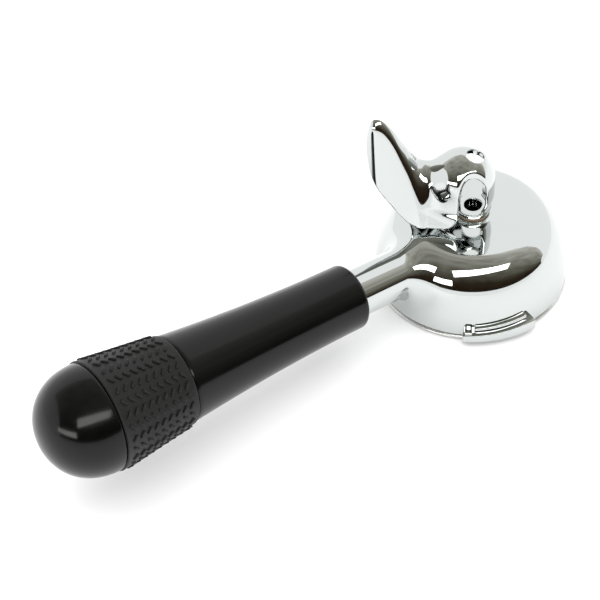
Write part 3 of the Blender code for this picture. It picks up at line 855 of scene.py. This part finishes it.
def make_handle():
    edge = HANDLE_EDGE
    start = HANDLE_START
    seat = SLEEVE_START - 0.2 * MM
    socket_r = NECK_R - MM
    outline = [
        (socket_r, start + 2 * MM), (socket_r, start),
        *arc(HANDLE_START_R - edge, start + edge, edge, edge, -math.pi / 2, 0, 8),
        *handle_side(start + edge * 1.3, seat - 0.5 * MM, 60),
        (handle_radius(seat) - 0.15 * MM, seat - 0.15 * MM),
        (handle_radius(seat) - 0.5 * MM, seat),
        (handle_radius(seat) - SLEEVE_BED, seat + 0.1 * MM),
        *handle_side(seat + MM, SLEEVE_END, 8, -SLEEVE_BED),
        (HANDLE_CORE_R, SLEEVE_END), (HANDLE_CORE_R, start + INSERT_BED + MM),
        (socket_r, start + INSERT_BED),
    ]
    mesh = from_bmesh("handle_shell", turned(outline, 200, HANDLE_FRAME, True), 40)
    finish_mesh("handle_shell", mesh, PHENOLIC, "head", ["handle_body"])


def make_cap():
    """The domed end, hollow, from its inside top round to its outside top."""
    start = SLEEVE_END + CAP_GAP
    length = CAP_LENGTH - CAP_GAP
    inner_r = HANDLE_END_R - CAP_WALL
    outline = [
        (0, start + length - CAP_WALL),
        *arc(0, start, inner_r, length - CAP_WALL, math.pi / 2, 0, 16)[1:],
        (HANDLE_END_R - CAP_LIP, start),
        *arc(HANDLE_END_R - CAP_LIP, start + CAP_LIP, CAP_LIP, CAP_LIP, -math.pi / 2, 0, 4),
        *blunt_arc(start + CAP_LIP, HANDLE_END_R, length - CAP_LIP, 48)[1:-1],
        (0, start + length),
    ]
    mesh = from_bmesh("end_dome", turned(outline, 200, HANDLE_FRAME, True), 40)
    finish_mesh("end_dome", mesh, PHENOLIC, "head", ["end_cap"])


def make_sleeve():
    start = SLEEVE_START
    end = SLEEVE_END
    lip = SLEEVE_LIP
    outline = [
        (handle_radius(start) - SLEEVE_DEPTH, start),
        (handle_radius(start) + SLEEVE_PROUD - lip, start),
        (handle_radius(start) + SLEEVE_PROUD, start + lip),
        *handle_side(start + 2 * lip, end - 2 * lip, 24, SLEEVE_PROUD),
        (handle_radius(end) + SLEEVE_PROUD, end - lip),
        (handle_radius(end) + SLEEVE_PROUD - lip, end),
        (handle_radius(end) - SLEEVE_DEPTH, end),
    ]
    mesh = from_bmesh("sleeve_band", turned(outline, 168, HANDLE_FRAME, True), 50)
    finish_mesh("sleeve_band", mesh, RUBBER, "head", ["grip_sleeve"])


def make_ribs():
    """Short slanted ribs on the sleeve that lean the other way in each next row."""
    bm = bmesh.new()
    length = SLEEVE_END - SLEEVE_START
    columns = int((length - 1.5 * MM) / RIB_PITCH)
    first = SLEEVE_START + (length - (columns - 1) * RIB_PITCH) / 2
    for row in range(RIB_ROWS):
        turn = math.tau * row / RIB_ROWS
        lean = RIB_SLANT if row % 2 else -RIB_SLANT
        for column in range(columns):
            at = first + column * RIB_PITCH
            place = (
                HANDLE_FRAME
                @ Matrix.Translation((at, 0, 0))
                @ Matrix.Rotation(turn, 4, "X")
                @ Matrix.Translation((0, 0, handle_radius(at) + SLEEVE_PROUD))
                @ Matrix.Rotation(lean, 4, "Z")
                @ Matrix.Diagonal((RIB_WIDTH, RIB_LENGTH, RIB_HEIGHT * 2, 1))
            )
            add_rib(bm, place)
    finish_mesh("sleeve_ribs", from_bmesh("sleeve_ribs", bm, 60), RUBBER, "head")


def add_rib(bm, place):
    """A unit block, narrower at its top and with rounded edges, set in place."""
    made = bmesh.ops.create_cube(bm, size=1)["verts"]
    edges = list({e for v in made for e in v.link_edges})
    for vert in made:
        if vert.co.z > 0:
            vert.co.x *= 0.75
            vert.co.y *= 0.88
    bevelled = bmesh.ops.bevel(
        bm, geom=edges, offset=0.18, segments=2, profile=0.5, affect="EDGES"
    )["verts"]
    verts = set(bevelled) | {v for v in made if v.is_valid}
    bmesh.ops.transform(bm, matrix=place, verts=list(verts))


def dress_hidden_nodes():
    """The pieces inside the handle keep their solids and take the final materials."""
    for node, material in (("threaded_insert", BRASS), ("handle_stud", STUD)):
        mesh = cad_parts[node].data
        mesh.materials.clear()
        mesh.materials.append(material)


# ---- studio and camera ----

VIEW_AZIMUTH = math.radians(-34.81)
VIEW_ELEVATION = math.radians(46.52)
VIEW_ROLL = math.radians(-2.95)
VIEW_DISTANCE = 0.650
VIEW_TARGET = Vector((AXIS_X - 58.2 * MM, 27.2 * MM, 0))
LENS = 106.56
SENSOR = 36.0
ROOM_DISTANCE = 1.2
WINDOW_DISTANCE = 1.1


def make_camera():
    back = Vector((
        math.sin(VIEW_AZIMUTH) * math.cos(VIEW_ELEVATION),
        -math.cos(VIEW_AZIMUTH) * math.cos(VIEW_ELEVATION),
        math.sin(VIEW_ELEVATION),
    ))
    level = Vector((math.cos(VIEW_AZIMUTH), math.sin(VIEW_AZIMUTH), 0))
    top = back.cross(level)
    right = level * math.cos(VIEW_ROLL) + top * math.sin(VIEW_ROLL)
    up = back.cross(right)
    data = bpy.data.cameras.new("studio_camera")
    data.lens = LENS
    data.sensor_width = SENSOR
    data.clip_start = 0.01
    camera = bpy.data.objects.new("studio_camera", data)
    bpy.context.scene.collection.objects.link(camera)
    turn = Matrix((right, up, back)).transposed().to_4x4()
    camera.matrix_world = Matrix.Translation(VIEW_TARGET + back * VIEW_DISTANCE) @ turn
    bpy.context.scene.camera = camera


def stage_mesh(name, verts, faces, material):
    mesh = bpy.data.meshes.new(name)
    mesh.from_pydata(verts, [], faces)
    mesh.materials.append(material)
    obj = bpy.data.objects.new(name, mesh)
    bpy.context.scene.collection.objects.link(obj)
    return obj


def glow(name, strength, colour=(1, 1, 1)):
    """A material that only gives off light."""
    material = bpy.data.materials.new(name)
    material.use_nodes = True
    tree = material.node_tree
    tree.nodes.clear()
    emission = tree.nodes.new("ShaderNodeEmission")
    emission.inputs["Color"].default_value = (*colour, 1)
    emission.inputs["Strength"].default_value = strength
    output = tree.nodes.new("ShaderNodeOutputMaterial")
    tree.links.new(emission.outputs["Emission"], output.inputs["Surface"])
    return material, emission


def vault(name, left, right, low, highs, distance, material, tilt=0.0):
    """A card on a sphere round the object that only shows in reflections.

    Left and right lean sideways. Low and highs turn up and over the object from the viewer's
    horizon, and highs is a list of (side, high) pairs. All are in degrees, and tilt raises the
    right side.
    """
    level = Vector((math.cos(VIEW_AZIMUTH), math.sin(VIEW_AZIMUTH), 0))
    front = Vector((math.sin(VIEW_AZIMUTH), -math.cos(VIEW_AZIMUTH), 0))
    middle = Vector((AXIS_X - 40 * MM, 0, 0))
    across = 60
    upward = 48
    verts = []
    faces = []
    for j in range(upward + 1):
        for i in range(across + 1):
            share = i / across
            side = left + (right - left) * share
            top = float(np.interp(side, [h[0] for h in highs], [h[1] for h in highs]))
            turn = math.radians(side)
            lift = math.radians(low + (top - low) * j / upward + tilt * share)
            over = front * math.cos(lift) + Vector((0, 0, math.sin(lift)))
            verts.append(middle + (level * math.sin(turn) + over * math.cos(turn)) * distance)
    for j in range(upward):
        for i in range(across):
            a = j * (across + 1) + i
            faces.append((a, a + 1, a + across + 2, a + across + 1))
    obj = stage_mesh(name, verts, faces, material)
    layer = obj.data.uv_layers.new(name="place")
    for loop in obj.data.loops:
        column = loop.vertex_index % (across + 1)
        row = loop.vertex_index // (across + 1)
        layer.data[loop.index].uv = (column / across, row / upward)
    obj.visible_camera = False
    obj.visible_diffuse = False
    obj.visible_shadow = False


def room_material():
    """A dim room, darkest and brownest near its floor and grey towards its ceiling."""
    material, emission = glow("dim_room", 1.12)
    tree = material.node_tree
    place = tree.nodes.new("ShaderNodeUVMap")
    split = tree.nodes.new("ShaderNodeSeparateXYZ")
    tree.links.new(place.outputs["UV"], split.inputs["Vector"])
    ramp = tree.nodes.new("ShaderNodeValToRGB")
    stops = (
        (0.0, (0.020, 0.013, 0.008)), (0.12, (0.035, 0.026, 0.017)), (0.3, (0.13, 0.125, 0.105)),
        (0.6, (0.32, 0.32, 0.29)), (0.88, (0.50, 0.50, 0.47)), (1.0, (0.80, 0.80, 0.79)),
    )
    ramp.color_ramp.elements[0].position = stops[0][0]
    ramp.color_ramp.elements[1].position = stops[-1][0]
    for position, _ in stops[1:-1]:
        ramp.color_ramp.elements.new(position)
    for element, (_, colour) in zip(ramp.color_ramp.elements, stops):
        element.color = (*colour, 1)
    tree.links.new(split.outputs["Y"], ramp.inputs["Fac"])
    clutter = tree.nodes.new("ShaderNodeTexNoise")
    clutter.inputs["Scale"].default_value = 9.0
    clutter.inputs["Detail"].default_value = 3.0
    tree.links.new(place.outputs["UV"], clutter.inputs["Vector"])
    dapple = tree.nodes.new("ShaderNodeMix")
    dapple.data_type = "RGBA"
    dapple.blend_type = "MULTIPLY"
    dapple.inputs["Factor"].default_value = 1.0
    tree.links.new(ramp.outputs["Color"], dapple.inputs["A"])
    patches = spread(tree, clutter.outputs["Fac"], 0, 1)
    shade = mix_colours(tree, patches, (0.72, 0.66, 0.58), (1.18, 1.18, 1.15))
    tree.links.new(shade, dapple.inputs["B"])
    tree.links.new(dapple.outputs["Result"], emission.inputs["Color"])
    return material


def make_studio():
    scene = bpy.context.scene
    scene.view_settings.view_transform = "Standard"
    world = bpy.data.worlds.new("studio")
    world.use_nodes = True
    background = world.node_tree.nodes["Background"]
    background.inputs["Color"].default_value = (1, 1, 1, 1)
    background.inputs["Strength"].default_value = 1.35
    scene.world = world

    floor_material, _, shader = principled("pale_floor", (0.95, 0.95, 0.95), 0.6)
    shader.inputs["Specular IOR Level"].default_value = 0.1
    size = 3.0
    corners = [(-size, -size, 0), (size, -size, 0), (size, size, 0), (-size, size, 0)]
    stage_mesh("floor", corners, [(0, 1, 2, 3)], floor_material)

    room_top = [(-57, 128), (0, 130.3), (14, 116), (30, 106), (54, 99), (84, 99)]
    vault("dim_room", -57, 84, 6, room_top, ROOM_DISTANCE, room_material())
    bright, _ = glow("window_light", 6.0, (1.0, 1.0, 0.98))
    vault("window_0", -22, 36, 34, [(0, 50)], WINDOW_DISTANCE, bright, 15)
    vault("window_1", -60, -25, 16, [(0, 27)], WINDOW_DISTANCE, bright, -2)

    data = bpy.data.lights.new("overhead", "AREA")
    data.energy = 9
    data.size = 1.6
    lamp = bpy.data.objects.new("overhead", data)
    lamp.location = (AXIS_X - 0.05, 0.05, 1.3)
    lamp.visible_glossy = False
    scene.collection.objects.link(lamp)


def main():
    make_camera()
    make_head()
    make_lugs()
    make_spout()
    make_thread()
    make_washer()
    make_basket()
    make_spring()
    make_handle()
    make_cap()
    make_sleeve()
    make_ribs()
    dress_hidden_nodes()
    make_studio()


main()
